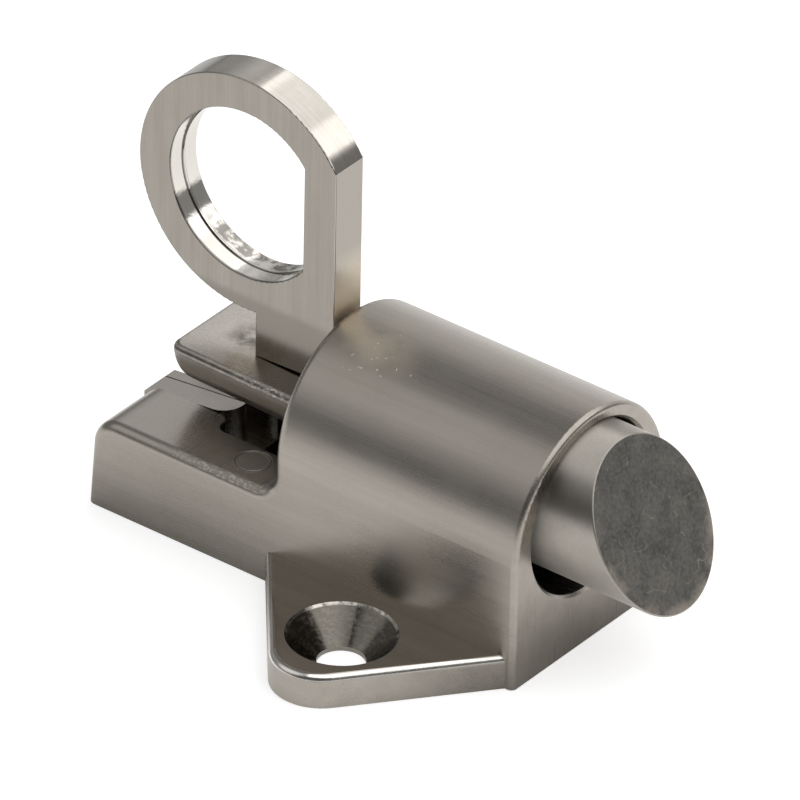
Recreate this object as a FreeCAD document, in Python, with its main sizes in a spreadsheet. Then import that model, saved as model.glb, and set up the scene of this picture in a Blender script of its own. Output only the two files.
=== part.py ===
import FreeCAD, Part
import math
import os

import Sketcher

# Spring bolt latch. Millimetres, +Z up, +X towards the bolt's tip.
# The origin lies midway between the two screw holes, on the mounting face.

DIMENSIONS = {
    # Arched barrel of the casting, from its front face to the rear
    "barrel_front": 13.2,
    "barrel_length": 25.0,
    "side_wall": 2.25,
    "roof": 1.25,
    "rear_wall": 2.6,
    "front_edge_radius": 0.5,
    "rear_edge_radius": 0.9,
    # The bore is wider than the bolt, which rides near its top
    "bore_play": 1.0,
    "bore_top_gap": 0.1,
    "bore_chamfer": 0.25,
    # Two triangular ears with countersunk screw holes
    "ear_base": 24.8,
    "ear_thickness": 3.05,
    "ear_tip_radius": 4.3,
    "ear_edge_radius": 0.6,
    "hole_from_barrel": 5.7,
    "tip_from_hole": 2.7,
    "screw_hole": 4.1,
    "countersink_rim": 9.4,
    "countersink_angle": 90.0,
    # Block behind the barrel, with a pocket and a channel
    "block_length": 19.4,
    "block_gap": 1.0,
    "block_draft": 3.5,
    "block_rear_radius": 2.6,
    "block_root_radius": 2.0,
    "pocket_length": 10.0,
    "pocket_width": 9.9,
    "channel_width": 6.1,
    "channel_corner_radius": 0.8,
    "corner_gap": 0.1,
    "channel_floor": 3.0,
    # Rib in the channel, with a fine groove along its top
    "rib_width": 3.5,
    "rib_from_pocket": 1.0,
    "rib_overhang": 0.55,
    "rib_front_drop": 0.7,
    "rib_rear_drop": 1.65,
    "rib_chamfer": 0.4,
    "groove_width": 0.14,
    "groove_depth": 0.12,
    "groove_from_middle": 0.53,
    # Bolt with a slanted face, a shoulder and a half-round tail that tapers
    # behind the barrel
    "bolt_radius": 6.75,
    "bolt_height": 13.8,
    "bolt_reach": 10.1,
    "bolt_engaged": 6.0,
    "bevel_angle": 28.7,
    "bevel_edge_radius": 0.12,
    "shoulder_chamfer": 0.4,
    "tail_step": 1.55,
    "tail_rise": 0.9,
    "tail_beyond": 6.65,
    "tail_draft": 1.2,
    "tail_end_radius": 1.2,
    "tail_edge_radius": 0.5,
    "tail_clearance": 0.25,
    # Pull ring, a flat plate with a shank, a riveted tenon and a fine ridge
    # round the middle of its hole's wall
    "ridge_width": 0.3,
    "ridge_height": 0.14,
    "ridge_chamfer": 0.1,
    "ring_thickness": 3.6,
    "ring_radius": 11.0,
    "ring_band": 3.15,
    "ring_setback": 9.4,
    "ring_front_wall": 3.3,
    "ring_lift": 15.05,
    "ring_edge_radius": 0.12,
    "shank_width": 8.1,
    "shank_front_gap": 0.35,
    "stop_gap": 0.3,
    "tenon_width": 4.4,
    "tenon_thickness": 2.6,
    "tenon_fit": 0.05,
    "seat_gap": 0.05,
    "rivet_recess": 1.0,
    "rivet_head": 0.7,
    "rivet_width": 5.6,
    # Compression spring round the tail
    "wire_diameter": 0.9,
    "spring_inset": 0.3,
    "coil_turns": 6.0,
    "coil_stretch": 0.25,
    "spring_seat_gap": 0.05,
}


def tangent(alias):
    return "tan(Sizes.%s * 1 deg)" % alias


# Lengths that follow from the dimensions above
BORE_RADIUS = "(Sizes.bolt_radius + Sizes.bore_play)"
BORE_HEIGHT = "(Sizes.bolt_height - Sizes.bore_play + Sizes.bore_top_gap)"
BARREL_RADIUS = "(Sizes.bolt_radius + Sizes.bore_play + Sizes.side_wall)"
BARREL_HEIGHT = "(Sizes.bolt_height + Sizes.bolt_radius + Sizes.bore_top_gap + Sizes.roof)"
BARREL_REAR = "(Sizes.barrel_front - Sizes.barrel_length)"
HOLE_PLACE = "(%s + Sizes.hole_from_barrel)" % BARREL_RADIUS
TAIL_RADIUS = "(Sizes.bolt_radius - Sizes.tail_step)"
TAIL_FLAT = "(Sizes.bolt_height + Sizes.tail_rise)"
TAIL_TAPER = "(Sizes.shank_width + Sizes.tail_beyond)"
TAIL_END_RADIUS = "(%s - %s * %s)" % (TAIL_RADIUS, TAIL_TAPER, tangent("tail_draft"))
GUIDED_TAIL = "(Sizes.barrel_length + Sizes.stop_gap)"
BLOCK_HEIGHT = "(%s - %s - Sizes.block_gap)" % (TAIL_FLAT, TAIL_RADIUS)
BLOCK_REAR = "(%s - Sizes.block_length)" % BARREL_REAR
POCKET_REAR = "(%s - Sizes.pocket_length)" % BARREL_REAR
CHANNEL_STEP = "((Sizes.pocket_width - Sizes.channel_width) / 2)"
POCKET_CORNER = "(%s - Sizes.channel_corner_radius - Sizes.corner_gap)" % CHANNEL_STEP
RIB_REAR = "(%s - Sizes.rib_overhang)" % BLOCK_REAR
RIB_NOSE = "(%s - Sizes.rib_from_pocket)" % POCKET_REAR
RIB_FRONT_TOP = "(%s - Sizes.rib_front_drop)" % BLOCK_HEIGHT
RIB_REAR_TOP = "(%s - Sizes.rib_rear_drop)" % BLOCK_HEIGHT
RING_HOLE = "(Sizes.ring_radius - Sizes.ring_band)"
RECESS_ROOF = "(%s - Sizes.rivet_recess)" % TAIL_RADIUS
RIVET_THICKNESS = "(Sizes.tenon_thickness + Sizes.rivet_width - Sizes.tenon_width)"
COIL_RADIUS = "(Sizes.bolt_radius - Sizes.spring_inset - Sizes.wire_diameter / 2)"
SPRING_ROOM = "(Sizes.barrel_length - Sizes.rear_wall - Sizes.bolt_engaged)"
COIL_TRAVEL = "(%s - 2 * Sizes.spring_seat_gap - Sizes.wire_diameter)" % SPRING_ROOM

# Places closer than this are the same, and edges this far apart are not neighbours
SAME_PLACE = 1e-3
APART = 1.0

QUARTER_TURN = 90

doc = FreeCAD.newDocument("spring_bolt_latch")
sheet = doc.addObject("Spreadsheet::Sheet", "Sizes")
for row, (alias, value) in enumerate(DIMENSIONS.items(), start=1):
    sheet.set("A%d" % row, alias)
    sheet.set("B%d" % row, str(value))
    sheet.setAlias("B%d" % row, alias)
doc.recompute()


def near(value, target):
    return abs(value - target) < SAME_PLACE


def number(expression):
    """Value of an expression in the sheet's sizes."""
    result = sheet.evalExpression(expression)
    return float(getattr(result, "Value", result))


def size(alias):
    return number("Sizes." + alias)


# Bodies and sketches

def new_body(label, x=None, y=None, z=None):
    body = doc.addObject("PartDesign::Body", label)
    body.Label = label
    for axis, expression in (("x", x), ("y", y), ("z", z)):
        if expression:
            body.setExpression(".Placement.Base." + axis, expression)
    return body


def plane_of(body, role):
    return [item for item in body.Origin.OriginFeatures if item.Role == role][0]


def new_sketch(body, name, role, offset=None):
    """Sketch on one of the body's own origin planes, moved along its normal."""
    sketch = body.newObject("Sketcher::SketchObject", name)
    sketch.AttachmentSupport = [(plane_of(body, role), "")]
    sketch.MapMode = "FlatFace"
    if offset:
        sketch.setExpression(".AttachmentOffset.Base.z", offset)
    return sketch


def bind(sketch, name, constraint, expression):
    index = sketch.addConstraint(constraint)
    sketch.renameConstraint(index, name)
    sketch.setExpression("Constraints." + name, expression)


# An arc is half a circle, or the longer part of one
HALF = "half"
LONG = "long"


def arc_between(start, end, radius):
    """Arc from start to end, with its centre and bulge on the right of the way."""
    chord = end - start
    middle = (start + end) * 0.5
    right = FreeCAD.Vector(chord.y, -chord.x, 0).normalize()
    rise = math.sqrt(max(radius ** 2 - (chord.Length / 2) ** 2, 0.0))
    centre = middle + right * rise
    return Part.Arc(start, centre + right * radius, end)


def outline(sketch, corners):
    """Closed outline. Each corner is (x, y), or (x, y, radius, part) where the
    stretch that arrives there is an arc."""
    places = [FreeCAD.Vector(number(c[0]), number(c[1]), 0) for c in corners]
    first = sketch.GeometryCount
    count = len(corners)
    ends = []
    for i, corner in enumerate(corners):
        start = places[i - 1]
        end = places[i]
        if len(corner) == 2:
            sketch.addGeometry(Part.LineSegment(start, end), False)
            ends.append((1, 2))
        else:
            index = sketch.addGeometry(arc_between(start, end, number(corner[2])), False)
            placed = sketch.Geometry[index]
            begins_there = near(placed.StartPoint.distanceToPoint(start), 0)
            ends.append((1, 2) if begins_there else (2, 1))
    for i in range(count):
        following = (i + 1) % count
        sketch.addConstraint(Sketcher.Constraint(
            "Coincident", first + i, ends[i][1], first + following, ends[following][0]))
    for i, corner in enumerate(corners):
        geometry = first + i
        label = "p%d_%d" % (first, i)
        for kind, axis, text in (("DistanceX", "x", corner[0]), ("DistanceY", "y", corner[1])):
            place = getattr(places[i], axis)
            bind(sketch, label + axis,
                 Sketcher.Constraint(kind, geometry, ends[i][1], place), text)
        if len(corner) == 2:
            continue
        if corner[3] == LONG:
            bind(sketch, label + "r",
                 Sketcher.Constraint("Radius", geometry, number(corner[2])), corner[2])
            continue
        # The centre of a half circle lies on the line between its ends
        level = near(places[i - 1].y, places[i].y)
        kind, place, text = (("DistanceY", places[i].y, corner[1]) if level
                             else ("DistanceX", places[i].x, corner[0]))
        bind(sketch, label + "c", Sketcher.Constraint(kind, geometry, 3, place), text)


def circle(sketch, name, x, y, radius):
    index = sketch.addGeometry(Part.Circle(
        FreeCAD.Vector(number(x), number(y), 0), FreeCAD.Vector(0, 0, 1), number(radius)), False)
    bind(sketch, name + "_x", Sketcher.Constraint("DistanceX", index, 3, number(x)), x)
    bind(sketch, name + "_y", Sketcher.Constraint("DistanceY", index, 3, number(y)), y)
    bind(sketch, name + "_r", Sketcher.Constraint("Radius", index, number(radius)), radius)


def rectangle(sketch, x, y, length, width):
    """Rectangle about a centre."""
    west = "%s - (%s) / 2" % (x, length)
    east = "%s + (%s) / 2" % (x, length)
    south = "%s - (%s) / 2" % (y, width)
    north = "%s + (%s) / 2" % (y, width)
    outline(sketch, [(west, south), (east, south), (east, north), (west, north)])


def half_round(sketch, radius, level):
    """Half circle below a flat top."""
    outline(sketch, [
        ("-" + radius, level),
        (radius, level, radius, HALF),
    ])


# Features

def extrude(body, kind, name, sketch, length=None, through=False, both=False, reverse=False):
    """Pad or pocket of a sketch. A pad has to add something and a pocket has to
    take something away."""
    before = body.Shape.Volume if not body.Shape.isNull() else 0.0
    feature = body.newObject("PartDesign::" + kind, name)
    feature.Profile = sketch
    feature.Midplane = both
    feature.Reversed = reverse
    if through:
        feature.Type = "ThroughAll"
    else:
        feature.setExpression("Length", length)
    doc.recompute()
    change = feature.Shape.Volume - before
    if (kind == "Pad") != (change > 0):
        raise RuntimeError("%s changes the volume by %.3f" % (name, change))
    return feature


def dress(body, kind, name, test, amount):
    """Fillet or chamfer of the tip's edges whose boxes pass a test."""
    base = body.Tip
    names = ["Edge%d" % i for i, edge in enumerate(base.Shape.Edges, start=1)
             if test(edge.BoundBox)]
    if not names:
        raise RuntimeError("%s finds no edges" % name)
    feature = body.newObject("PartDesign::" + kind, name)
    feature.Base = (base, names)
    feature.setExpression("Radius" if kind == "Fillet" else "Size", amount)
    doc.recompute()
    if "Invalid" in feature.State:
        raise RuntimeError("%s can't be made" % name)
    return feature


def flat_at(box, axis, place):
    """The edge lies in the plane where axis has the value place."""
    return near(getattr(box, axis + "Min"), place) and near(getattr(box, axis + "Max"), place)


# The casting

def ear_outline(sketch):
    """A triangle on the barrel's side with a round tip that its sides touch."""
    half = number("Sizes.ear_base / 2")
    root = number(BARREL_RADIUS)
    tip_place = "(%s + Sizes.tip_from_hole)" % HOLE_PLACE
    centre = FreeCAD.Vector(0, number(tip_place), 0)
    radius = size("ear_tip_radius")
    corner = FreeCAD.Vector(half, root, 0)
    away = corner - centre
    angle = math.atan2(away.y, away.x) + math.acos(radius / away.Length)
    touch = centre + FreeCAD.Vector(math.cos(angle), math.sin(angle), 0) * radius
    mirrored = FreeCAD.Vector(-touch.x, touch.y, 0)
    tip = centre + FreeCAD.Vector(0, radius, 0)
    near_barrel = FreeCAD.Vector(-half, root, 0)
    inner = [FreeCAD.Vector(-half, 0, 0), FreeCAD.Vector(half, 0, 0)]
    stretches = [
        Part.LineSegment(inner[0], inner[1]),
        Part.LineSegment(inner[1], corner),
        Part.LineSegment(corner, touch),
        Part.Arc(touch, tip, mirrored),
        Part.LineSegment(mirrored, near_barrel),
        Part.LineSegment(near_barrel, inner[0]),
    ]
    for stretch in stretches:
        sketch.addGeometry(stretch, False)
    for first, second in ((0, 1), (1, 2), (4, 5), (5, 0)):
        sketch.addConstraint(Sketcher.Constraint("Coincident", first, 2, second, 1))
    for first, second in ((2, 3), (3, 4)):
        sketch.addConstraint(Sketcher.Constraint("Tangent", first, 2, second, 1))
    places = (
        (0, 1, "-Sizes.ear_base / 2", "0 mm"),
        (1, 1, "Sizes.ear_base / 2", "0 mm"),
        (2, 1, "Sizes.ear_base / 2", BARREL_RADIUS),
        (5, 1, "-Sizes.ear_base / 2", BARREL_RADIUS),
        (3, 3, "0 mm", tip_place),
    )
    for geometry, end, x, y in places:
        label = "c%d_%d" % (geometry, end)
        bind(sketch, label + "x",
             Sketcher.Constraint("DistanceX", geometry, end, number(x)), x)
        bind(sketch, label + "y",
             Sketcher.Constraint("DistanceY", geometry, end, number(y)), y)
    bind(sketch, "tip", Sketcher.Constraint("Radius", 3, radius), "Sizes.ear_tip_radius")


def add_barrel_and_block(body):
    barrel_top = number(BARREL_HEIGHT)
    barrel_rear = number(BARREL_REAR)
    block_top = number(BLOCK_HEIGHT)

    # Barrel with an arched section
    arch_centre = "(%s - %s)" % (BARREL_HEIGHT, BARREL_RADIUS)
    profile = new_sketch(body, "barrel_section", "YZ_Plane", BARREL_REAR)
    outline(profile, [
        ("-" + BARREL_RADIUS, "0 mm"),
        (BARREL_RADIUS, "0 mm"),
        (BARREL_RADIUS, arch_centre),
        ("-" + BARREL_RADIUS, arch_centre, BARREL_RADIUS, HALF),
    ])
    extrude(body, "Pad", "barrel", profile, "Sizes.barrel_length")

    # Block behind the barrel, its rear face leaning forward
    side = new_sketch(body, "block_side", "XZ_Plane")
    outline(side, [
        (BLOCK_REAR, "0 mm"),
        (BARREL_REAR, "0 mm"),
        (BARREL_REAR, BLOCK_HEIGHT),
        (BLOCK_REAR + " + " + BLOCK_HEIGHT + " * " + tangent("block_draft"), BLOCK_HEIGHT),
    ])
    extrude(body, "Pad", "block", side, "2 * " + BARREL_RADIUS, both=True)

    # Concave root where the block's top meets the barrel
    dress(body, "Fillet", "block_root",
          lambda box: flat_at(box, "X", barrel_rear) and flat_at(box, "Z", block_top),
          "Sizes.block_root_radius")

    # Rear top edge of the block, then the run of edges round each outline
    dress(body, "Fillet", "block_rear_edge",
          lambda box: (box.XMax < number(POCKET_REAR) and flat_at(box, "Z", block_top)
                       and near(box.XMin, box.XMax)),
          "Sizes.block_rear_radius")
    dress(body, "Fillet", "rear_outline",
          lambda box: flat_at(box, "X", barrel_rear) and box.ZMax > barrel_top - APART,
          "Sizes.rear_edge_radius")
    dress(body, "Fillet", "front_outline",
          lambda box: (flat_at(box, "X", size("barrel_front"))
                       and box.ZMax > barrel_top - APART),
          "Sizes.front_edge_radius")


def add_ears(body):
    plan = new_sketch(body, "ear_plan", "XY_Plane")
    ear_outline(plan)
    ear = extrude(body, "Pad", "ear", plan, "Sizes.ear_thickness")
    other = body.newObject("PartDesign::Mirrored", "other_ear")
    other.Originals = [ear]
    other.MirrorPlane = (plane_of(body, "XZ_Plane"), [""])
    body.Tip = other
    doc.recompute()
    clear_of_barrel = number(BARREL_RADIUS) + APART
    dress(body, "Fillet", "ear_edges",
          lambda box: (flat_at(box, "Z", size("ear_thickness"))
                       and max(-box.YMin, box.YMax) > clear_of_barrel),
          "Sizes.ear_edge_radius")


def cut_pocket_and_channel(body):
    """Pocket under the ring's shank, right through, and the channel behind it."""
    above = "(%s + Sizes.block_root_radius)" % BLOCK_HEIGHT
    half_block = number(BLOCK_HEIGHT) / 2
    half_channel = number("Sizes.channel_width / 2")

    pocket = new_sketch(body, "pocket_plan", "XY_Plane", above)
    outline(pocket, [
        (POCKET_REAR, "-Sizes.pocket_width / 2"),
        (BARREL_REAR, "-Sizes.pocket_width / 2"),
        (BARREL_REAR, "Sizes.pocket_width / 2"),
        (POCKET_REAR, "Sizes.pocket_width / 2"),
    ])
    extrude(body, "Pocket", "pocket", pocket, through=True)
    dress(body, "Fillet", "pocket_corners",
          lambda box: flat_at(box, "X", number(POCKET_REAR)) and box.ZLength > half_block,
          POCKET_CORNER)

    channel = new_sketch(body, "channel_plan", "XY_Plane", above)
    outline(channel, [
        (RIB_REAR, "-Sizes.channel_width / 2"),
        (POCKET_REAR, "-Sizes.channel_width / 2"),
        (POCKET_REAR, "Sizes.channel_width / 2"),
        (RIB_REAR, "Sizes.channel_width / 2"),
    ])
    extrude(body, "Pocket", "channel", channel, above + " - Sizes.channel_floor")
    dress(body, "Fillet", "channel_mouth",
          lambda box: (flat_at(box, "X", number(POCKET_REAR)) and box.ZLength > half_block
                       and near(max(-box.YMin, box.YMax), half_channel)),
          "Sizes.channel_corner_radius")


def add_rib(body):
    """Rib in the channel, round in front, falling towards the rear."""
    nose_centre = "(%s - Sizes.rib_width / 2)" % RIB_NOSE
    plan = new_sketch(body, "rib_plan", "XY_Plane")
    outline(plan, [
        (RIB_REAR, "-Sizes.rib_width / 2"),
        (nose_centre, "-Sizes.rib_width / 2"),
        (nose_centre, "Sizes.rib_width / 2", "Sizes.rib_width / 2", HALF),
        (RIB_REAR, "Sizes.rib_width / 2"),
    ])
    extrude(body, "Pad", "rib", plan, RIB_FRONT_TOP)
    slope = new_sketch(body, "rib_slope", "XZ_Plane")
    outline(slope, [
        (RIB_REAR, RIB_REAR_TOP),
        (RIB_NOSE, RIB_FRONT_TOP),
        (RIB_REAR, RIB_FRONT_TOP),
    ])
    extrude(body, "Pocket", "rib_fall", slope,
            "(Sizes.rib_width + Sizes.channel_width) / 2", both=True)
    dress(body, "Chamfer", "rib_rear_edge",
          lambda box: (flat_at(box, "X", number(RIB_REAR))
                       and flat_at(box, "Z", number(RIB_REAR_TOP))),
          "Sizes.rib_chamfer")
    groove = new_sketch(body, "groove_side", "XZ_Plane", "-Sizes.groove_from_middle")
    outline(groove, [
        (RIB_REAR, RIB_REAR_TOP + " - Sizes.groove_depth"),
        (RIB_NOSE, RIB_FRONT_TOP + " - Sizes.groove_depth"),
        (RIB_NOSE, RIB_FRONT_TOP + " + Sizes.groove_depth"),
        (RIB_REAR, RIB_REAR_TOP + " + Sizes.groove_depth"),
    ])
    extrude(body, "Pocket", "groove", groove, "Sizes.groove_width", both=True)


def cut_bore(body):
    """Bore from the front, and the half-round way for the tail in the rear wall."""
    mouth = new_sketch(body, "bore_mouth", "YZ_Plane", "Sizes.barrel_front")
    circle(mouth, "bore", "0 mm", BORE_HEIGHT, BORE_RADIUS)
    extrude(body, "Pocket", "bore", mouth, "Sizes.barrel_length - Sizes.rear_wall")
    dress(body, "Chamfer", "bore_edge",
          lambda box: (flat_at(box, "X", size("barrel_front"))
                       and abs(box.YLength - 2 * number(BORE_RADIUS)) < size("bore_chamfer")),
          "Sizes.bore_chamfer")
    wide = "(%s + Sizes.tail_clearance)" % TAIL_RADIUS
    way = new_sketch(body, "tail_way_section", "YZ_Plane", BARREL_REAR)
    outline(way, [
        ("-" + wide, TAIL_FLAT),
        (wide, TAIL_FLAT, wide, HALF),
        (wide, TAIL_FLAT + " + Sizes.tail_clearance"),
        ("-" + wide, TAIL_FLAT + " + Sizes.tail_clearance"),
    ])
    extrude(body, "Pocket", "tail_way", way, "Sizes.rear_wall", reverse=True)


def cut_screw_holes(body):
    """Countersunk screw holes in the ears."""
    places = new_sketch(body, "screw_places", "XY_Plane", "Sizes.ear_thickness")
    circle(places, "near_hole", "0 mm", "-" + HOLE_PLACE, "Sizes.screw_hole / 2")
    circle(places, "far_hole", "0 mm", HOLE_PLACE, "Sizes.screw_hole / 2")
    doc.recompute()
    before = body.Shape.Volume
    holes = body.newObject("PartDesign::Hole", "screw_holes")
    holes.Profile = places
    holes.DepthType = "ThroughAll"
    holes.HoleCutType = "Countersink"
    holes.HoleCutCustomValues = True
    holes.setExpression("Diameter", "Sizes.screw_hole")
    holes.setExpression("HoleCutDiameter", "Sizes.countersink_rim")
    holes.setExpression("HoleCutCountersinkAngle", "Sizes.countersink_angle")
    doc.recompute()
    if holes.Shape.Volume >= before:
        raise RuntimeError("The screw holes cut nothing")


def make_latch_body():
    """The casting: arched barrel, block behind it and two ears, in one piece."""
    body = new_body("latch_body")
    add_barrel_and_block(body)
    add_ears(body)
    cut_pocket_and_channel(body)
    add_rib(body)
    cut_bore(body)
    cut_screw_holes(body)
    return body


# The bolt and its ring

def make_bolt():
    """Bolt with a slanted face, a shoulder and a half-round tail."""
    body = new_body("bolt", x="Sizes.barrel_front", z="Sizes.bolt_height")
    shoulder = -size("bolt_engaged")
    rise = size("tail_rise")

    head = new_sketch(body, "head_section", "YZ_Plane", "-Sizes.bolt_engaged")
    circle(head, "head", "0 mm", "0 mm", "Sizes.bolt_radius")
    extrude(body, "Pad", "head", head, "Sizes.bolt_engaged + Sizes.bolt_reach")
    bevel_top = "(Sizes.bolt_reach - 2 * Sizes.bolt_radius * %s)" % tangent("bevel_angle")
    bevel = new_sketch(body, "bevel_side", "XZ_Plane")
    outline(bevel, [
        ("Sizes.bolt_reach", "-Sizes.bolt_radius"),
        ("Sizes.bolt_reach", "Sizes.bolt_radius"),
        (bevel_top, "Sizes.bolt_radius"),
    ])
    extrude(body, "Pocket", "bevel", bevel, "2 * Sizes.bolt_radius", both=True)
    dress(body, "Fillet", "bevel_edge",
          lambda box: box.XMin > number(bevel_top) - APART and box.XLength > APART,
          "Sizes.bevel_edge_radius")
    dress(body, "Chamfer", "shoulder_edge",
          lambda box: flat_at(box, "X", shoulder),
          "Sizes.shoulder_chamfer")

    # Straight tail as far as the barrel's rear, tapering behind it
    tail_end = "(-%s - %s)" % (GUIDED_TAIL, TAIL_TAPER)
    section = new_sketch(body, "tail_section", "YZ_Plane", "-" + GUIDED_TAIL)
    half_round(section, TAIL_RADIUS, "Sizes.tail_rise")
    extrude(body, "Pad", "tail", section, GUIDED_TAIL + " - Sizes.bolt_engaged")
    end_section = new_sketch(body, "tail_end_section", "YZ_Plane", tail_end)
    half_round(end_section, TAIL_END_RADIUS, "Sizes.tail_rise")
    taper = body.newObject("PartDesign::AdditiveLoft", "tail_taper")
    taper.Profile = section
    taper.Sections = [end_section]
    taper.Ruled = True
    doc.recompute()
    dress(body, "Fillet", "tail_end_round",
          lambda box: flat_at(box, "X", number(tail_end)) and not flat_at(box, "Z", rise),
          "Sizes.tail_end_radius")
    dress(body, "Fillet", "tail_edges",
          lambda box: box.XMin < shoulder - APART and flat_at(box, "Z", rise),
          "Sizes.tail_edge_radius")

    # Slot for the ring's tenon, with a recess below it for the riveted end
    centre = "(-%s - Sizes.shank_width / 2)" % GUIDED_TAIL
    slot = new_sketch(body, "tenon_slot_plan", "XY_Plane", "Sizes.tail_rise")
    rectangle(slot, centre, "0", "Sizes.tenon_width + 2 * Sizes.tenon_fit",
              "Sizes.tenon_thickness + 2 * Sizes.tenon_fit")
    extrude(body, "Pocket", "tenon_slot", slot, TAIL_RADIUS)
    recess = new_sketch(body, "rivet_recess_plan", "XY_Plane",
                        "Sizes.tail_rise - " + RECESS_ROOF)
    rectangle(recess, centre, "0", "Sizes.rivet_width + 2 * Sizes.tenon_fit",
              RIVET_THICKNESS + " + 2 * Sizes.tenon_fit")
    extrude(body, "Pocket", "rivet_seat", recess, "Sizes.rivet_recess")
    return body


def hole_outline(sketch, growth):
    """The ring's hole, round with a straight front, grown by a length all round."""
    radius = "(%s + %s)" % (RING_HOLE, growth)
    front = "(Sizes.ring_front_wall - %s)" % growth
    rise = "sqrt(%s ^ 2 - (Sizes.ring_setback - %s) ^ 2)" % (radius, front)
    outline(sketch, [
        ("-" + front, "Sizes.ring_lift - " + rise, radius, LONG),
        ("-" + front, "Sizes.ring_lift + " + rise),
    ])


def make_pull_ring():
    """Flat ring with a straight front edge, a shank and a riveted tenon."""
    body = new_body("pull_ring", x=BARREL_REAR + " - Sizes.stop_gap", z=TAIL_FLAT)
    front_rise = "sqrt(Sizes.ring_radius ^ 2 - Sizes.ring_setback ^ 2)"
    rear_rise = "sqrt(Sizes.ring_radius ^ 2 - (Sizes.ring_setback - Sizes.shank_width) ^ 2)"

    plate = new_sketch(body, "ring_outline", "XZ_Plane")
    outline(plate, [
        ("0 mm", "Sizes.shank_front_gap"),
        ("0 mm", "Sizes.ring_lift + " + front_rise),
        ("-Sizes.shank_width", "Sizes.ring_lift - " + rear_rise, "Sizes.ring_radius", LONG),
        ("-Sizes.shank_width", "Sizes.seat_gap"),
    ])
    hole_outline(plate, "0")
    extrude(body, "Pad", "ring", plate, "Sizes.ring_thickness", both=True)
    face = number("Sizes.ring_thickness / 2")
    foot = number("Sizes.shank_front_gap + Sizes.seat_gap")
    dress(body, "Fillet", "ring_edges",
          lambda box: ((flat_at(box, "Y", face) or flat_at(box, "Y", -face))
                       and box.ZMax > foot),
          "Sizes.ring_edge_radius")

    # Ridge round the middle of the hole's wall
    strip = new_sketch(body, "ridge_outline", "XZ_Plane")
    hole_outline(strip, "Sizes.ridge_height")
    hole_outline(strip, "(-Sizes.ridge_height)")
    extrude(body, "Pad", "ridge", strip, "Sizes.ridge_width", both=True)
    side = number("Sizes.ridge_width / 2")
    crest = number("-Sizes.ring_front_wall - Sizes.ridge_height / 2")
    dress(body, "Chamfer", "ridge_edges",
          lambda box: ((flat_at(box, "Y", side) or flat_at(box, "Y", -side))
                       and box.XMax < crest),
          "Sizes.ridge_chamfer")

    # Tenon through the tail, its neck and its spread end
    centre = "(-Sizes.shank_width / 2)"
    tenon = new_sketch(body, "tenon_plan", "XY_Plane", "-" + RECESS_ROOF)
    rectangle(tenon, centre, "0", "Sizes.tenon_width", "Sizes.tenon_thickness")
    extrude(body, "Pad", "tenon", tenon, RECESS_ROOF + " + Sizes.shank_front_gap")
    spread = new_sketch(body, "rivet_plan", "XY_Plane",
                        "-%s - Sizes.seat_gap - Sizes.rivet_head" % RECESS_ROOF)
    rectangle(spread, centre, "0", "Sizes.rivet_width", RIVET_THICKNESS)
    extrude(body, "Pad", "rivet", spread, "Sizes.rivet_head")
    neck = new_sketch(body, "neck_plan", "XY_Plane", "-%s - Sizes.seat_gap" % RECESS_ROOF)
    rectangle(neck, centre, "0", "Sizes.tenon_width", "Sizes.tenon_thickness")
    extrude(body, "Pad", "neck", neck, "Sizes.seat_gap")
    return body


# The spring

def make_spring():
    """Compression spring round the tail, between the shoulder and the rear wall."""
    helix = doc.addObject("Part::Helix", "coil_path")
    helix.setExpression("Height", COIL_TRAVEL)
    helix.setExpression("Pitch", COIL_TRAVEL + " / Sizes.coil_turns")
    helix.setExpression("Radius", COIL_RADIUS)
    helix.setExpression("SegmentLength", "Sizes.coil_stretch")
    helix.setExpression(".Placement.Base.z", "Sizes.wire_diameter / 2")
    wire = doc.addObject("Part::Circle", "wire_section")
    wire.setExpression("Radius", "Sizes.wire_diameter / 2")
    wire.setExpression(".Placement.Base.x", COIL_RADIUS)
    wire.setExpression(".Placement.Base.z", "Sizes.wire_diameter / 2")
    wire.Placement.Rotation = FreeCAD.Rotation(FreeCAD.Vector(1, 0, 0), QUARTER_TURN)
    doc.recompute()
    spring = doc.addObject("Part::Sweep", "compression_spring")
    spring.Label = "compression_spring"
    spring.Sections = [wire]
    spring.Spine = (helix, ["Edge%d" % i for i in range(1, len(helix.Shape.Edges) + 1)])
    spring.Solid = True
    spring.Frenet = True
    spring.Placement.Rotation = FreeCAD.Rotation(FreeCAD.Vector(0, 1, 0), QUARTER_TURN)
    spring.setExpression(".Placement.Base.x",
                         BARREL_REAR + " + Sizes.rear_wall + Sizes.spring_seat_gap")
    spring.setExpression(".Placement.Base.z", "Sizes.bolt_height")
    doc.recompute()
    return spring


pieces = [make_latch_body(), make_bolt(), make_pull_ring(), make_spring()]
doc.recompute()
for item in doc.Objects:
    if "Invalid" in item.State or "Error" in item.State:
        raise RuntimeError("%s failed" % item.Label)
for piece in pieces:
    shape = piece.Shape
    if shape.isNull() or not shape.isValid() or len(shape.Solids) != 1:
        raise RuntimeError("%s isn't one valid solid" % piece.Label)
os.makedirs("parts", exist_ok=True)
for piece in pieces:
    piece.Shape.exportStep("parts/%s.step" % piece.Label)
    print(piece.Label, round(piece.Shape.Volume, 2))
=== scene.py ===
import math

import bpy
from mathutils import Matrix, Vector


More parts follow.
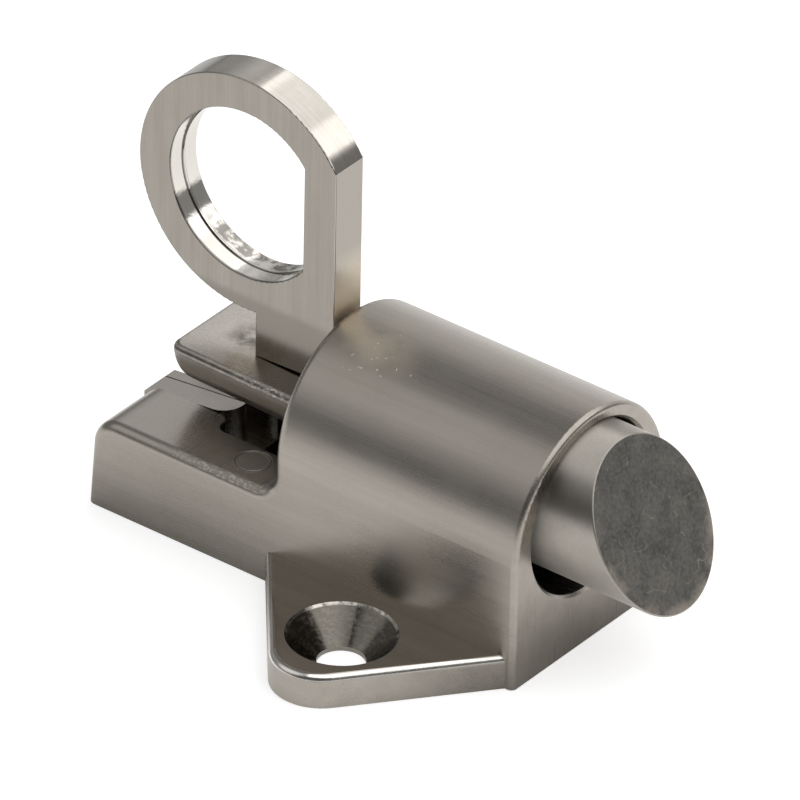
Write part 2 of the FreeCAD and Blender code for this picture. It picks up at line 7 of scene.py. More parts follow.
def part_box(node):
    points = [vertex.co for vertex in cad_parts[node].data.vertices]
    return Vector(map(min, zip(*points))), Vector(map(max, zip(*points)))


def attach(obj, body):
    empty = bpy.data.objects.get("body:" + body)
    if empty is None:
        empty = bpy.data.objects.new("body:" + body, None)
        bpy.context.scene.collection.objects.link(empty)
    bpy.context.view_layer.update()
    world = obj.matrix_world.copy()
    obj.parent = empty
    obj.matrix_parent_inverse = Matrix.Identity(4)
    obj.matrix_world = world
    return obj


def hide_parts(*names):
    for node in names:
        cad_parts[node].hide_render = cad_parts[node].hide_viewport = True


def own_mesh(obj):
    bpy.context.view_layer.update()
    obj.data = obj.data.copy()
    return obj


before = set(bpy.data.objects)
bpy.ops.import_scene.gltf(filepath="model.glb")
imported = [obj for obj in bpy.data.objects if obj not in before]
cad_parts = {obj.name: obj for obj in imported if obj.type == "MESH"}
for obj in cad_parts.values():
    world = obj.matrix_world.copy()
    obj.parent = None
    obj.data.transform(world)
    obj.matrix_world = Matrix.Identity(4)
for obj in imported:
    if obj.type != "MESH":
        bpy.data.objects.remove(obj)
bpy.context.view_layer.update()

MM = 0.001

# Places on the model, in metres
BARREL_FRONT = 13.2 * MM
BARREL_REAR = -11.8 * MM
BARREL_HALF = 10.0 * MM
BLOCK_REAR = BARREL_REAR - 19.4 * MM
PLATEAU = 8.5 * MM
POCKET_REAR = -21.8 * MM
POCKET_HALF = 5.0 * MM
SCREW_PLACE = 15.7 * MM
BOLT_AXIS = 13.8 * MM
TAIL_FLAT = 14.7 * MM
RING_CENTRE = (-21.5 * MM, 29.75 * MM)

# Places of single marks and of painted reflections, in millimetres
HAZE = (-6.8, -2.5, 21.1)
SPARKS = (-5.2, -3.2, 20.8)
PIN_MARK = (-16.25, -6.9, 8.5)
# Painted reflections of the ring's shank on the tail's flat
DARK_SHANK_REFLECTION = (-22.0, 0.2, 14.7)
BROWN_SHANK_REFLECTION = (-20.3, -3.2, 14.7)


# Camera: the photograph's direction, roll, distance and framing

AZIMUTH = math.radians(37.397)
ELEVATION = math.radians(33.112)
ROLL = math.radians(1.128)
DISTANCE = 1.5211
PIXELS_PER_METRE = 12253.6
OFF_CENTRE = (44.9, 51.8)
AIM = Vector((-1.8, 0, 12)) * MM
PICTURE_WIDTH = 800
SENSOR_WIDTH = 36


def make_camera():
    back = Vector((math.sin(AZIMUTH) * math.cos(ELEVATION),
                   -math.cos(AZIMUTH) * math.cos(ELEVATION), math.sin(ELEVATION)))
    level = Vector((math.cos(AZIMUTH), math.sin(AZIMUTH), 0))
    above = back.cross(level)
    right = level * math.cos(ROLL) + above * math.sin(ROLL)
    up = above * math.cos(ROLL) - level * math.sin(ROLL)
    place = (AIM + back * DISTANCE - right * OFF_CENTRE[0] / PIXELS_PER_METRE
             + up * OFF_CENTRE[1] / PIXELS_PER_METRE)
    data = bpy.data.cameras.new("camera")
    data.sensor_width = SENSOR_WIDTH
    data.lens = SENSOR_WIDTH * PIXELS_PER_METRE * DISTANCE / PICTURE_WIDTH
    data.clip_start = 0.05
    data.clip_end = 20
    camera = bpy.data.objects.new("camera", data)
    turn = Matrix((right, up, back)).transposed().to_4x4()
    camera.matrix_world = Matrix.Translation(place) @ turn
    bpy.context.scene.collection.objects.link(camera)
    bpy.context.scene.camera = camera


# Node helpers: a value is an output of a node, a number, or a tuple

class Nodes:
    """Short names for the shader nodes of one material or world."""

    def __init__(self, tree):
        self.tree = tree
        tree.nodes.clear()

    def add(self, kind, **settings):
        node = self.tree.nodes.new(kind)
        for name, setting in settings.items():
            setattr(node, name, setting)
        return node

    def link(self, value, target):
        """Wire an output to an input, or write a number or tuple there."""
        if isinstance(value, bpy.types.NodeSocket):
            self.tree.links.new(value, target)
        else:
            target.default_value = (*value, 1) if target.type == "RGBA" else value

    def fill(self, node, **values):
        """Link values to a node's inputs by name, with _ for a space."""
        for name, value in values.items():
            self.link(value, node.inputs[name.replace("_", " ")])
        return node

    def math(self, operation, first, *others):
        """One maths node, or a chain of them where there are more than two values."""
        for other in others or (None,):
            node = self.add("ShaderNodeMath", operation=operation)
            self.link(first, node.inputs[0])
            if other is not None:
                self.link(other, node.inputs[1])
            first = node.outputs[0]
        return first

    def product(self, *values):
        return self.math("MULTIPLY", *values)

    def total(self, *pairs):
        """Sum of values, each times its weight."""
        return self.math("ADD", *(self.product(value, weight) for value, weight in pairs))

    def away(self, a, b):
        """How far two numbers are apart."""
        return self.math("ABSOLUTE", self.math("SUBTRACT", a, b))

    def length(self, a, b):
        """Length of the diagonal over the sides a and b."""
        return self.math("SQRT", self.math("ADD", self.product(a, a), self.product(b, b)))

    def vector(self, operation, a, b):
        node = self.add("ShaderNodeVectorMath", operation=operation)
        self.link(a, node.inputs[0])
        self.link(b, node.inputs[1])
        number = operation in ("DOT_PRODUCT", "DISTANCE")
        return node.outputs["Value" if number else "Vector"]

    def split(self, vector):
        node = self.add("ShaderNodeSeparateXYZ")
        self.link(vector, node.inputs[0])
        return node.outputs

    def ramp(self, value, low, high, out_low=0.0, out_high=1.0, smooth=True):
        """From out_low at low to out_high at high; low may be the larger."""
        node = self.add("ShaderNodeMapRange",
                        interpolation_type="SMOOTHSTEP" if smooth else "LINEAR")
        self.fill(node, Value=value, From_Min=low, From_Max=high,
                  To_Min=out_low, To_Max=out_high)
        return node.outputs["Result"]

    def band(self, value, low, high, soft):
        """1 between low and high, 0 outside, with soft edges."""
        return self.product(self.ramp(value, low - soft, low),
                            self.ramp(value, high + soft, high))

    def distance(self, place, mark):
        """Distance from a mark, whose place is in millimetres."""
        return self.vector("DISTANCE", place, tuple(c * MM for c in mark))

    def near(self, place, mark, inner, outer):
        """1 within the inner distance of a mark, 0 beyond the outer one, in millimetres."""
        return self.ramp(self.distance(place, mark), outer * MM, inner * MM)

    def noise(self, place, scale, detail=3.0, rough=0.55):
        """Noise with one scale, or one each along X, Y and Z; a low one makes streaks."""
        mapping = self.fill(self.add("ShaderNodeMapping"), Vector=place,
                            Scale=scale if isinstance(scale, tuple) else (scale,) * 3)
        node = self.fill(self.add("ShaderNodeTexNoise"), Vector=mapping.outputs[0],
                         Scale=1.0, Detail=detail, Roughness=rough)
        return node.outputs[0]

    def mix(self, factor, a, b, kind="RGBA"):
        """Between a and b, which are colours, or vectors (VECTOR) or numbers (VALUE)."""
        node = self.add("ShaderNodeMix", data_type="FLOAT" if kind == "VALUE" else kind)
        self.link(factor, node.inputs["Factor"])
        for name, value in (("A", a), ("B", b)):
            self.link(value, next(s for s in node.inputs if (s.name, s.type) == (name, kind)))
        return next(s for s in node.outputs if s.type == kind)

    def blend(self, factor, a, b):
        """Number between a and b."""
        return self.mix(factor, a, b, "VALUE")

    def coat(self, colour, masks, coats):
        """Lay each coat over the colour where its mask is, as strongly as the coat says."""
        for name, (strength, coat) in coats.items():
            colour = self.mix(self.product(masks[name], strength), colour, coat)
        return colour


def coordinates(nodes):
    """Place on the object in its own frame, and the surface's normal."""
    return (nodes.add("ShaderNodeTexCoord").outputs["Object"],
            nodes.add("ShaderNodeNewGeometry").outputs["Normal"])


def new_material(name):
    material = bpy.data.materials.new(name)
    material.use_nodes = True
    return material, Nodes(material.node_tree)


def finish_surface(nodes, kind, shader):
    nodes.fill(nodes.add(kind), Surface=shader.outputs[0])


def metal(name):
    material, nodes = new_material(name)
    shader = nodes.fill(nodes.add("ShaderNodeBsdfPrincipled"), Metallic=1.0)
    finish_surface(nodes, "ShaderNodeOutputMaterial", shader)
    return material, nodes, shader


def surface(nodes, shader, colour, rough, height, depth):
    """Give a metal its colour, roughness and relief."""
    relief = nodes.fill(nodes.add("ShaderNodeBump"), Height=height, Distance=depth,
                        Strength=1.0)
    nodes.fill(shader, Base_Color=colour, Roughness=rough, Normal=relief.outputs[0])


# Casting

CASTING_COLOURS = (0.35, 0.32, 0.282), (0.425, 0.392, 0.35)
CASTING_COATS = {
    # Painted sheen: the rear of the block's top is made lighter
    "rear_sheen": (0.75, (0.52, 0.485, 0.44)),
    # Painted shade: the countersinks are darkened
    "shaded_cone": (0.9, (0.13, 0.118, 0.1)),
    "cone_pits": (0.35, (0.34, 0.32, 0.29)),
    # Painted highlight on the countersinks' top lip
    "lip_highlight": (0.85, (0.7, 0.67, 0.62)),
    # Painted shade on the pocket's walls
    "pocket_shade": (0.85, (0.05, 0.045, 0.04)),
    "haze": (0.65, (0.53, 0.47, 0.385)),
    # Light grit on the block's near top edge, partly a painted highlight of that rounded edge
    "chips_and_highlight": (1.0, (0.6, 0.57, 0.52)),
    "sparks": (1.0, (0.78, 0.72, 0.62)),
    # Painted highlight along the ears' upper edge
    "rim_highlight": (0.9, (0.86, 0.83, 0.78)),
    "pin": (0.5, (0.12, 0.11, 0.1)),
}


def ear_masks(nodes, place, z, nz, aside):
    """The ears' upper side, painted shade in their countersinks, and painted highlights on the
    countersinks' lip and the ears' upper edge.
    """
    low = nodes.ramp(z, 4.2 * MM, 3.4 * MM)
    outside = nodes.ramp(aside, 9.9 * MM, 10.2 * MM)
    glossy = nodes.product(low, nodes.ramp(nz, 0.25, 0.6), outside)
    # The countersinks, which get painted shade
    shaded_cone = nodes.product(glossy, nodes.band(nz, 0.6, 0.8, 0.08),
                         nodes.ramp(nodes.away(aside, SCREW_PLACE), 4.9 * MM, 4.7 * MM))
    pits = nodes.ramp(nodes.noise(place, (1900.0, 1900.0, 4750.0), rough=0.65), 0.45, 0.62)
    # Painted highlight along the countersink's top lip
    lip_highlight = nodes.product(shaded_cone, nodes.band(z, 2.88 * MM, 3.1 * MM, 0.05 * MM),
                        nodes.ramp(nodes.noise(place, 1300.0, 2.0), 0.3, 0.6))
    in_plan = nodes.vector("MULTIPLY", place, (1, 1, 0))
    from_screw = nodes.vector("DISTANCE", in_plan, (0, -SCREW_PLACE, 0))
    # Painted highlight along the ears' upper outer edge
    rim_highlight = nodes.product(nodes.band(z, 2.4 * MM, 3.1 * MM, 0.1 * MM),
                        nodes.band(nz, 0.3, 0.9, 0.08), outside,
                        nodes.ramp(from_screw, 4.9 * MM, 5.1 * MM))
    return {"glossy": glossy, "shaded_cone": shaded_cone, "cone_pits": nodes.product(shaded_cone, pits),
            "lip_highlight": lip_highlight, "rim_highlight": rim_highlight}


def block_masks(nodes, place, x, z, nz, aside):
    """The block's top with painted sheen on its rear, the grit along its near top edge with a
    painted highlight, the pin mark and painted shade in the pocket.
    """
    top = nodes.product(nodes.ramp(nz, 0.95, 0.99),
                        nodes.band(z, PLATEAU - 3 * MM, PLATEAU + 0.1 * MM, 0.1 * MM))
    # Painted sheen: a lighter tone on the rear of the block's top
    rear_sheen = nodes.product(top, nodes.ramp(x, BLOCK_REAR + 12 * MM, BLOCK_REAR + 6 * MM))
    edge = nodes.product(nodes.ramp(x, BLOCK_REAR + 5 * MM, BLOCK_REAR + 14 * MM),
                         nodes.ramp(x, BARREL_REAR - 0.5 * MM, BARREL_REAR - 1 * MM),
                         nodes.band(nz, 0.5, 0.95, 0.04),
                         nodes.band(z, PLATEAU - 0.7 * MM, PLATEAU + 0.1 * MM, 0.2 * MM),
                         nodes.ramp(aside, 8.8 * MM, 9.2 * MM))
    grit = nodes.noise(place, 3000.0, rough=0.7)
    level = nodes.ramp(nz, 0.9, 0.98)
    from_pin = nodes.distance(place, PIN_MARK)
    # Painted shade: the pocket's walls are darkened
    pocket_shade = nodes.product(nodes.band(x, POCKET_REAR, BARREL_REAR, 0.1 * MM),
                           nodes.ramp(aside, POCKET_HALF + 0.3 * MM, POCKET_HALF + 0.1 * MM),
                           nodes.ramp(z, PLATEAU - 0.1 * MM, PLATEAU - 0.6 * MM))
    return {"top": top, "rear_sheen": rear_sheen, "edge": edge, "pocket_shade": pocket_shade,
            # Grit on the near top edge, made light partly as a painted highlight
            "chips_and_highlight": nodes.product(edge, nodes.ramp(grit, 0.48, 0.6)),
            "pin": nodes.product(nodes.band(from_pin, 1.42 * MM, 1.55 * MM, 0.09 * MM), level),
            "pin_floor": nodes.product(nodes.ramp(from_pin, 1.6 * MM, 1.4 * MM), level)}


def shoulder_masks(nodes, place):
    """A dull haze with light specks on the barrel's rear shoulder."""
    cloud = nodes.noise(place, 260.0, 4.0, 0.6)
    grit = nodes.noise(place, 2700.0, 1.0, 0.4)
    return {"haze": nodes.product(nodes.near(place, HAZE, 0.8, 5.4),
                                  nodes.ramp(cloud, 0.3, 0.7)),
            "sparks": nodes.product(nodes.near(place, SPARKS, 1.8, 5.0),
                                    nodes.ramp(grit, 0.71, 0.77))}


def casting_material():
    """Brushed along the barrel, along Z on its ends, and across the block's top."""
    material, nodes, shader = metal("satin_nickel_casting")
    place, normal = coordinates(nodes)
    x, y, z = nodes.split(place)
    nx, _, nz = nodes.split(normal)
    aside = nodes.math("ABSOLUTE", y)
    masks = {**ear_masks(nodes, place, z, nz, aside),
             **block_masks(nodes, place, x, z, nz, aside),
             **shoulder_masks(nodes, place)}

    # A brushed face draws its highlight out across the brushing
    end = nodes.ramp(nodes.math("ABSOLUTE", nx), 0.75, 0.95)
    across = nodes.vector("CROSS_PRODUCT", normal, (1, 0, 0))
    nodes.fill(shader, Anisotropic=0.5, Tangent=nodes.mix(end, across, (0, 1, 0), "VECTOR"))
    streaks = nodes.blend(end, nodes.noise(place, (45, 6000, 6000)),
                          nodes.noise(place, (6000, 6000, 60)))
    streaks = nodes.blend(masks["top"], streaks, nodes.noise(place, (5000, 70, 5000)))
    broad = nodes.noise(place, (40, 700, 700), 2.0)
    cloud = nodes.noise(place, 150.0, 4.0)
    specks = nodes.noise(place, 2600.0, 2.0)

    tone = nodes.total((streaks, 0.3), (broad, 0.4), (cloud, 0.3))
    colour = nodes.mix(nodes.ramp(tone, 0.35, 0.65, smooth=False), *CASTING_COLOURS)
    colour = nodes.coat(colour, masks, CASTING_COATS)
    rough = nodes.total((nodes.blend(masks["glossy"], 0.215, 0.07), 1.0),
                        (streaks, 0.07), (cloud, 0.06), (masks["haze"], 0.16),
                        (masks["edge"], 0.15), (masks["cone_pits"], 0.12),
                        (masks["pin_floor"], 0.08))
    height = nodes.total((streaks, nodes.blend(masks["glossy"], 0.09, 0.03)), (specks, 0.06),
                         (masks["chips_and_highlight"], 3.0), (masks["sparks"], 2.0), (masks["pin"], -6.0))
    surface(nodes, shader, colour, rough, height, 0.008 * MM)
    return material


# Bolt

BOLT_COLOURS = (0.45, 0.418, 0.376), (0.55, 0.517, 0.47)
FLAT_COLOURS = (0.46, 0.43, 0.39), (0.54, 0.505, 0.46)
# Painted shade: the slanted face is made dark
SLANTED_SHADE_COLOURS = (0.088, 0.084, 0.077), (0.165, 0.157, 0.143)
SLANTED_COATS = {
    "hair": (0.38, (0.4, 0.38, 0.35)),
    # The slant is lighter and browner towards its lower rim
    "lighter_lower_rim": (0.75, (0.38, 0.335, 0.28)),
}
BOLT_COATS = {
    # Painted reflections of the ring's shank on the tail's flat
    "shank_reflection": (0.85, (0.13, 0.112, 0.093)),
    "brown_shank_reflection": (0.65, (0.36, 0.28, 0.2)),
    "worn_edge": (0.55, (0.2, 0.18, 0.155)),
    "flecks": (1.0, (0.66, 0.63, 0.58)),
}


def bolt_material():
    """Turned round the head, drawn along the tail, and rough with scratches and painted shade
    on the slant.
    """
    material, nodes, shader = metal("satin_nickel_bolt")
    place, normal = coordinates(nodes)
    x, y, z = nodes.split(place)
    nx, _, nz = nodes.split(normal)
    along = nodes.fill(nodes.add("ShaderNodeCombineXYZ"), X=1.0)
    nodes.fill(shader, Anisotropic=0.95, Tangent=along.outputs[0])
    slanted = nodes.product(nodes.ramp(nx, 0.8, 0.86), nodes.ramp(nz, 0.4, 0.46))
    tail = nodes.ramp(x, BARREL_REAR + 1 * MM, BARREL_REAR)
    flat = nodes.product(tail, nodes.ramp(nz, 0.96, 0.99))
    turned = nodes.noise(place, (3600, 160, 160))
    drawn = nodes.noise(place, (160, 3600, 3600))
    scratches = nodes.noise(place, (900, 420, 3000), 5.0, 0.7)
    grain = nodes.noise(place, 3000.0)
    cloud = nodes.noise(place, 380.0, 5.0, 0.65)

    # Hairlines follow the noise's middle level, and the slant is lighter and browner towards
    # its lower rim
    course = nodes.noise(place, 420.0, 1.0, 0.3)
    rise = nodes.math("SUBTRACT", z, BOLT_AXIS)
    slanted_masks = {
        "hair": nodes.product(nodes.ramp(nodes.away(course, 0.5), 0.011, 0.002),
                              nodes.ramp(scratches, 0.45, 0.6)),
        "lighter_lower_rim": nodes.product(nodes.ramp(nodes.length(y, rise), 5.6 * MM, 6.7 * MM),
                                  nodes.ramp(rise, 3 * MM, -3 * MM),
                                  nodes.ramp(cloud, 0.35, 0.6))}

    # Painted reflections of the ring's shank on the tail's flat beside it, and the flat's worn
    # edge
    patches = nodes.ramp(nodes.noise(place, 700.0, 4.0, 0.65), 0.35, 0.65)
    grit = nodes.noise(place, 3000.0, rough=0.7)
    worn = nodes.product(tail, nodes.ramp(nz, 0.99, 0.93),
                         nodes.band(z, TAIL_FLAT - 0.6 * MM, TAIL_FLAT + 0.1 * MM, 0.15 * MM))
    masks = {
        "shank_reflection": nodes.product(nodes.near(place, DARK_SHANK_REFLECTION, 0.6, 2.8), patches, flat),
        "brown_shank_reflection": nodes.product(nodes.near(place, BROWN_SHANK_REFLECTION, 0.8, 3.0), flat,
                               nodes.ramp(cloud, 0.3, 0.55)),
        "worn_edge": nodes.product(worn, nodes.ramp(cloud, 0.35, 0.55)),
        "flecks": nodes.product(worn, nodes.ramp(x, -22 * MM, -17 * MM),
                                nodes.ramp(grit, 0.48, 0.62))}

    tone = nodes.total((cloud, 0.6), (grain, 0.4))
    share = nodes.ramp(tone, 0.3, 0.7, smooth=False)
    slanted_tone = nodes.total((cloud, 0.55), (grain, 0.45))
    # Painted shade: the slanted face gets its dark colour
    shaded_slant = nodes.mix(nodes.ramp(slanted_tone, 0.36, 0.62, smooth=False), *SLANTED_SHADE_COLOURS)
    shaded_slant = nodes.coat(shaded_slant, slanted_masks, SLANTED_COATS)
    colour = nodes.mix(slanted, nodes.mix(share, *BOLT_COLOURS), shaded_slant)
    colour = nodes.mix(flat, colour, nodes.mix(share, *FLAT_COLOURS))
    colour = nodes.coat(colour, masks, BOLT_COATS)
    rough = nodes.total((nodes.blend(slanted, 0.43, 0.3), 1.0), (tone, 0.1))
    rough = nodes.blend(flat, rough, nodes.total((tone, 0.14), (0.2, 1.0)))
    lines = nodes.blend(slanted, nodes.blend(tail, turned, drawn), scratches)
    height = nodes.total((lines, 0.5), (grain, 0.3), (masks["flecks"], 3.0))
    surface(nodes, shader, colour, rough, height, 0.006 * MM)
    return material


# Ring

RING_FACE_COLOURS = (0.325, 0.297, 0.262), (0.39, 0.36, 0.32)
RING_EDGE_COLOURS = (0.47, 0.44, 0.4), (0.54, 0.51, 0.465)
RING_COATS = {
    # Painted highlight: the inner wall is made light
    "inner": (1.0, (0.7, 0.67, 0.62)),
    # Painted shade on the chord face
    "shaded_chord": (0.85, (0.36, 0.33, 0.292)),
    # Painted warm highlight on the chord's low end
    "warm_highlight": (0.9, (0.76, 0.66, 0.52)),
    # Painted shade on the flanks of the inner wall's ridge
    "ridge_shade": (0.7, (0.09, 0.08, 0.07)),
    "mottle": (0.75, (0.12, 0.11, 0.098)),
    "brim": (0.7, (0.1, 0.09, 0.08)),
    # Painted shade on the shank's faces
    "shank_face_shade": (0.8, (0.25, 0.228, 0.2)),
}


def ring_material():
    """Brushed along Z on its faces, and polished round its rim and inner wall, with painted
    highlights and painted shade in places.
    """
    material, nodes, shader = metal("satin_nickel_ring")
    place, normal = coordinates(nodes)
    x, y, z = nodes.split(place)
    nx, ny, _ = nodes.split(normal)
    face = nodes.ramp(nodes.math("ABSOLUTE", ny), 0.8, 0.95)
    edge = nodes.math("SUBTRACT", 1.0, face)
    shank = nodes.ramp(z, 20.5 * MM, 19.5 * MM)
    brushed = nodes.noise(place, (4200, 4200, 110), 4.0, 0.6)
    rounds = nodes.noise(place, (260, 4600, 260), rough=0.5)
    broad = nodes.noise(place, (900, 900, 60), 2.0)
    cloud = nodes.noise(place, 300.0, 4.0)
    dimples = nodes.noise(place, 1100.0, rough=0.6)

    # The distance from the ring's centre tells its inner wall from its straight front
    from_centre = nodes.length(nodes.math("SUBTRACT", x, RING_CENTRE[0]),
                               nodes.math("SUBTRACT", z, RING_CENTRE[1]))
    inner = nodes.product(nodes.ramp(from_centre, 8.3 * MM, 8.0 * MM), edge)
    # The chord face, which gets painted shade
    shaded_chord = nodes.product(nodes.ramp(nx, 0.85, 0.95),
                          nodes.ramp(from_centre, 8.5 * MM, 8.7 * MM))
    middle = nodes.math("ABSOLUTE", y)
    masks = {
        # Painted highlight on the inner wall
        "inner": inner,
        "shaded_chord": shaded_chord,
        # Painted warm highlight on the chord's low end, which is also rougher
        "warm_highlight": nodes.product(shaded_chord, nodes.ramp(z, 28 * MM, 23 * MM)),
        # Painted shade on the flanks of the inner wall's ridge
        "ridge_shade": nodes.product(inner, nodes.band(middle, 0.12 * MM, 0.2 * MM, 0.08 * MM)),
        "mottle": nodes.product(inner, nodes.ramp(y, 0.1 * MM, 0.5 * MM),
                                nodes.ramp(z, 26 * MM, 23 * MM),
                                nodes.ramp(dimples, 0.42, 0.58)),
        "brim": nodes.product(inner, nodes.ramp(y, -1.5 * MM, -1.65 * MM)),
        # Painted shade on the shank's faces
        "shank_face_shade": nodes.product(shank, face)}

    tone = nodes.total((nodes.blend(edge, brushed, rounds), 0.45), (broad, 0.35), (cloud, 0.2))
    share = nodes.ramp(tone, 0.35, 0.65, smooth=False)
    colour = nodes.mix(edge, nodes.mix(share, *RING_FACE_COLOURS),
                       nodes.mix(share, *RING_EDGE_COLOURS))
    colour = nodes.coat(colour, masks, RING_COATS)
    rough = nodes.blend(edge, nodes.total((brushed, 0.14), (0.19, 1.0)),
                        nodes.total((cloud, 0.08), (0.09, 1.0)))
    rough = nodes.blend(shank, rough, nodes.total((brushed, 0.12), (0.16, 1.0)))
    rough = nodes.total((rough, 1.0), (masks["warm_highlight"], 0.38))
    height = nodes.blend(edge, nodes.product(brushed, 0.45), nodes.product(rounds, 0.12))
    height = nodes.total((height, 1.0), (nodes.product(inner, dimples), 2.2))
    surface(nodes, shader, colour, rough, height, 0.01 * MM)
    return material


# Spring

WIRE_COLOURS = (0.3, 0.3, 0.3), (0.42, 0.41, 0.4)
WIRE = 0.45 * MM
COIL = 6.0 * MM
TURNS = 6
STEPS = 64 * TURNS
AROUND = 14


def spring_material():
    material, nodes, shader = metal("spring_wire")
    place, _ = coordinates(nodes)
    drawn = nodes.noise(place, (3000, 300, 300), 2.0)
    surface(nodes, shader, nodes.mix(drawn, *WIRE_COLOURS),
            nodes.total((drawn, 0.15), (0.22, 1.0)), drawn, 0.01 * MM)
    return material


def make_spring():
    low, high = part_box("compression_spring")
    start = low[0] + WIRE
    travel = high[0] - low[0] - 2 * WIRE
    vertices = []
    for i in range(STEPS + 1):
        share = i / STEPS
        angle = 2 * math.pi * TURNS * share
        outward = Vector((0, math.sin(angle), -math.cos(angle)))
        forward = Vector((travel / (2 * math.pi * TURNS), COIL * math.cos(angle),
                          COIL * math.sin(angle))).normalized()
        side = forward.cross(outward)
        centre = Vector((start + travel * share, 0, BOLT_AXIS)) + outward * COIL
        for k in range(AROUND):
            turn = 2 * math.pi * k / AROUND
            vertices.append(centre + (outward * math.cos(turn) + side * math.sin(turn)) * WIRE)
    faces = []
    for i in range(STEPS):
        for k in range(AROUND):
            a = i * AROUND + k
            b = i * AROUND + (k + 1) % AROUND
            faces.append((a, b, b + AROUND, a + AROUND))
    faces.append(tuple(range(AROUND))[::-1])
    faces.append(tuple(range(STEPS * AROUND, (STEPS + 1) * AROUND)))
    mesh = bpy.data.meshes.new("coil")
    mesh.from_pydata(vertices, [], faces)
    mesh.validate()
    for polygon in mesh.polygons:
        polygon.use_smooth = len(polygon.vertices) == 4
    spring = bpy.data.objects.new("spring_coil", mesh)
    bpy.context.scene.collection.objects.link(spring)
    spring.data.materials.append(spring_material())
    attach(spring, "casting")
    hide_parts("compression_spring")
    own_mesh(spring)


def paint(node, material):
    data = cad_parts[node].data
    data.materials.clear()
    data.materials.append(material)


# Floor

FLOOR_HALF = 6.0
FLOOR_DROP = 0.02 * MM
FLOOR_COLOUR = (0.8, 0.8, 0.8)
CAMERA_GLOW = 0.6
METAL_GLOW = 0.45


def direction(azimuth, elevation):
    """Unit vector; azimuth is counted from +X towards +Y, both are in degrees."""
    a = math.radians(azimuth)
    e = math.radians(elevation)
    return Vector((math.cos(a) * math.cos(e), math.sin(a) * math.cos(e), math.sin(e)))


def outside_of(nodes, value, low, high):
    """How far a number lies outside a span."""
    return nodes.math("MAXIMUM", nodes.math("SUBTRACT", low, value),
                      nodes.math("SUBTRACT", value, high), 0.0)


def glow_in_metal(nodes, place, x, y):
    """Painted shade in the floor's glow as metal sees it: it fades under the casting, but not
    on its lit sides, and far behind the object.
    """
    gap = nodes.length(outside_of(nodes, x, BLOCK_REAR, BARREL_FRONT),
                       outside_of(nodes, y, -BARREL_HALF, BARREL_HALF))
    lit = nodes.math("MAXIMUM", nodes.ramp(y, 6 * MM, 12 * MM),
                     nodes.ramp(x, BARREL_FRONT + 1 * MM, BARREL_FRONT + 10 * MM))
    clear = nodes.math("MAXIMUM", nodes.ramp(gap, 0.0, 12 * MM), lit)
    behind = nodes.vector("DOT_PRODUCT", place, tuple(direction(128, 0)))
    aside = nodes.vector("DOT_PRODUCT", place, tuple(direction(38, 0)))
    dim = nodes.product(nodes.ramp(behind, 50 * MM, 110 * MM),
                        nodes.ramp(aside, 10 * MM, -12 * MM))
    return nodes.product(clear, nodes.math("SUBTRACT", 1.0, dim))


def glow_outside_pocket(nodes, x, y):
    """1 but for the floor at the bottom of the pocket, which is left dark as painted shade."""
    gap = nodes.math("MAXIMUM", outside_of(nodes, x, POCKET_REAR, BARREL_REAR),
                     outside_of(nodes, y, -POCKET_HALF, POCKET_HALF))
    return nodes.ramp(gap, 0.0, 0.1 * MM, smooth=False)


def floor_material():
    material, nodes = new_material("pale_floor")
    diffuse = nodes.fill(nodes.add("ShaderNodeBsdfDiffuse"), Color=FLOOR_COLOUR)
    place, _ = coordinates(nodes)
    x, y, _ = nodes.split(place)
    ray = nodes.add("ShaderNodeLightPath").outputs
    # Painted shade: no glow on the floor at the pocket's bottom
    seen = nodes.product(ray["Is Camera Ray"], glow_outside_pocket(nodes, x, y), CAMERA_GLOW)
    mirrored = nodes.product(
        nodes.math("MAXIMUM", ray["Is Glossy Ray"], ray["Is Transmission Ray"]),
        glow_in_metal(nodes, place, x, y), METAL_GLOW)
    glow = nodes.fill(nodes.add("ShaderNodeEmission"),
                      Strength=nodes.math("MAXIMUM", seen, mirrored))
    both = nodes.add("ShaderNodeAddShader")
    for shader, socket in zip((diffuse, glow), both.inputs):
        nodes.link(shader.outputs[0], socket)
    finish_surface(nodes, "ShaderNodeOutputMaterial", both)
    return material


def make_floor():
    half = FLOOR_HALF
    mesh = bpy.data.meshes.new("floor")
    mesh.from_pydata([(-half, -half, 0), (half, -half, 0), (half, half, 0), (-half, half, 0)],
                     [], [(0, 1, 2, 3)])
    floor = bpy.data.objects.new("floor", mesh)
    floor.location.z = -FLOOR_DROP
    bpy.context.scene.collection.objects.link(floor)
    floor.data.materials.append(floor_material())


# Light: the camera sees white behind the floor, and all else sees the room

ROOM = 0.18
# Round patches: azimuth, elevation, full radius, faded radius, strength
PATCHES = (
    (170, 45, 50, 80, 0.13),
    (-76, 24, 25, 48, -0.08),
    (-140, 46, 12, 30, 0.62),
    (44, 16, 8, 22, 0.15),
    (119, 42, 3, 8, 0.5),
)
# Windows: azimuth, half width, soft edge, elevations where the top fades out, strength
WINDOWS = (
    (105, 24, 12, 28, 50, 0.66),
    (105, 24, 12, 4, 14, 0.4),
)


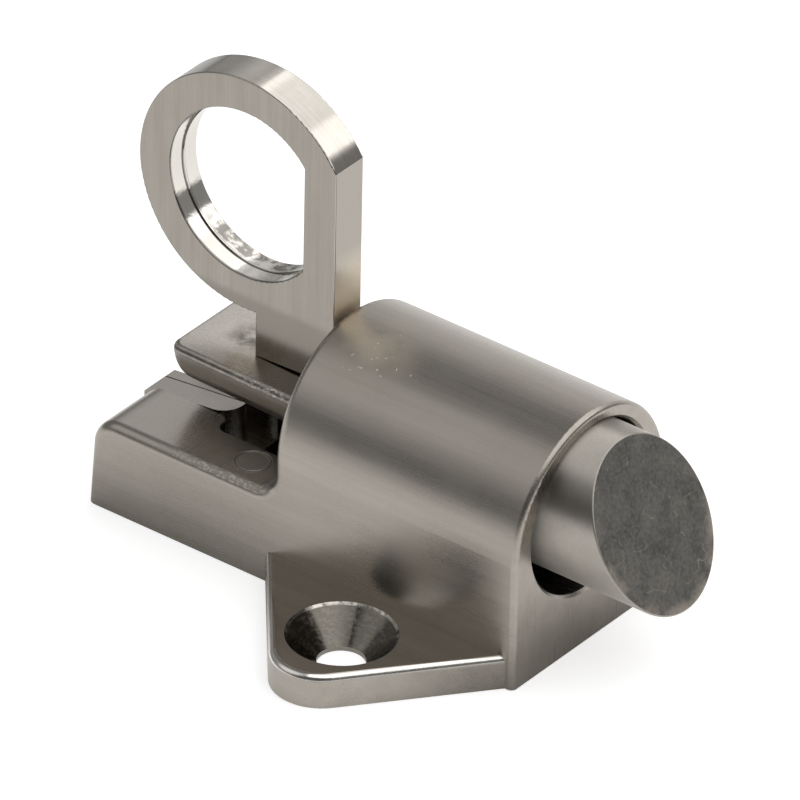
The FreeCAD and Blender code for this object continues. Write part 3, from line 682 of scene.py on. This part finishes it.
def room_strength(nodes, view):
    height = nodes.split(view)[2]
    total = ROOM
    for azimuth, elevation, inner, outer, strength in PATCHES:
        along = nodes.vector("DOT_PRODUCT", view, tuple(direction(azimuth, elevation)))
        patch = nodes.ramp(along, math.cos(math.radians(outer)), math.cos(math.radians(inner)),
                           0.0, strength)
        total = nodes.math("ADD", patch, total)
    for azimuth, half, soft, start, end, strength in WINDOWS:
        ahead = nodes.vector("DOT_PRODUCT", view, tuple(direction(azimuth, 0)))
        aside = nodes.vector("DOT_PRODUCT", view, tuple(direction(azimuth + 90, 0)))
        angle = nodes.math("ABSOLUTE", nodes.math("ARCTAN2", aside, ahead))
        width = nodes.ramp(angle, math.radians(half + soft), math.radians(half))
        top = nodes.ramp(height, math.sin(math.radians(end)), math.sin(math.radians(start)))
        total = nodes.math("ADD", nodes.product(width, top, strength), total)
    return total


def make_world():
    world = bpy.data.worlds.new("studio")
    bpy.context.scene.world = world
    world.use_nodes = True
    nodes = Nodes(world.node_tree)
    view = nodes.add("ShaderNodeTexCoord").outputs["Generated"]
    room = nodes.fill(nodes.add("ShaderNodeBackground"), Strength=room_strength(nodes, view))
    white = nodes.fill(nodes.add("ShaderNodeBackground"), Strength=1.0)
    pick = nodes.add("ShaderNodeMixShader")
    ray = nodes.add("ShaderNodeLightPath").outputs
    for value, socket in zip((ray["Is Camera Ray"], room.outputs[0], white.outputs[0]),
                             pick.inputs):
        nodes.link(value, socket)
    finish_surface(nodes, "ShaderNodeOutputWorld", pick)


def make_lamp(name, place, turn, width, height, radiance):
    data = bpy.data.lights.new(name, "AREA")
    data.shape = "RECTANGLE"
    data.size = width
    data.size_y = height
    data.energy = radiance * math.pi * width * height
    lamp = bpy.data.objects.new(name, data)
    lamp.location = AIM + place
    lamp.rotation_mode = "QUATERNION"
    lamp.rotation_quaternion = turn
    bpy.context.scene.collection.objects.link(lamp)


def make_lamps():
    """A wide softbox overhead, towards the far right, and a smaller lamp at its far edge."""
    turn = Matrix.Rotation(math.radians(18.7), 3, "Z").to_quaternion()
    make_lamp("softbox", Vector((0.353, 0.264, 0.5)), turn,
              width=1.075, height=1.015, radiance=1.25)
    away = direction(55, 33)
    make_lamp("key", away * 0.6, away.to_track_quat("Z", "Y"),
              width=0.16, height=0.21, radiance=0.7)


make_camera()
paint("latch_body", casting_material())
paint("bolt", bolt_material())
paint("pull_ring", ring_material())
make_spring()
make_floor()
make_world()
make_lamps()
bpy.context.scene.view_settings.view_transform = "Standard"
